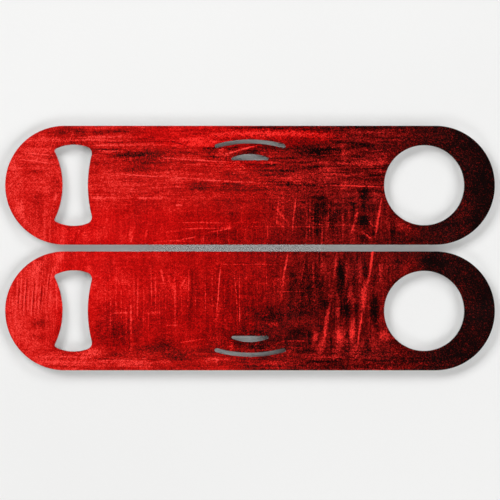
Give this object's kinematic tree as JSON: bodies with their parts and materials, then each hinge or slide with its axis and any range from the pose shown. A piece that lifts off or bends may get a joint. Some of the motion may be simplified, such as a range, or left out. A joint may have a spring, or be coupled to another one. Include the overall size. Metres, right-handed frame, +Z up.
{
  "type": "bar blade bottle openers",
  "caption": "Flat steel bar-blade bottle openers, one face up and one turned over, with distressed red printed skins, a cap slot, a finger ring and curved slots.",
  "frame": {"origin": "on the table, at the middle of the pair's footprint", "axes": "+X along the blades from the cap slots to the rings, +Y from the turned-over opener to the face-up one, +Z up from the table"},
  "size_m": [0.1778, 0.0888, 0.0032],
  "materials": {
    "steel": "tumbled stainless plate with a fine grain on its cut edges",
    "adhesive": "grey acrylic pressure-sensitive adhesive",
    "print": "printed vinyl, distressed red fading to black at the ring end, with streaks and scratches",
    "laminate": "clear satin over-laminate"
  },
  "bodies": {
    "face_up_opener": {"face_up_steel_blade": "steel", "face_up_front_adhesive": "adhesive", "face_up_front_print": "print", "face_up_front_laminate": "laminate", "face_up_back_adhesive": "adhesive", "face_up_back_print": "print", "face_up_back_laminate": "laminate"},
    "face_down_opener": {"face_down_steel_blade": "steel", "face_down_front_adhesive": "adhesive", "face_down_front_print": "print", "face_down_front_laminate": "laminate", "face_down_back_adhesive": "adhesive", "face_down_back_print": "print", "face_down_back_laminate": "laminate"}
  },
  "joints": [
    {"name": "pick_up_face_down", "type": "slide", "parent": "face_up_opener", "child": "face_down_opener", "axis": [0, 0, 1], "range_m": [0, 0.06]}
  ]
}
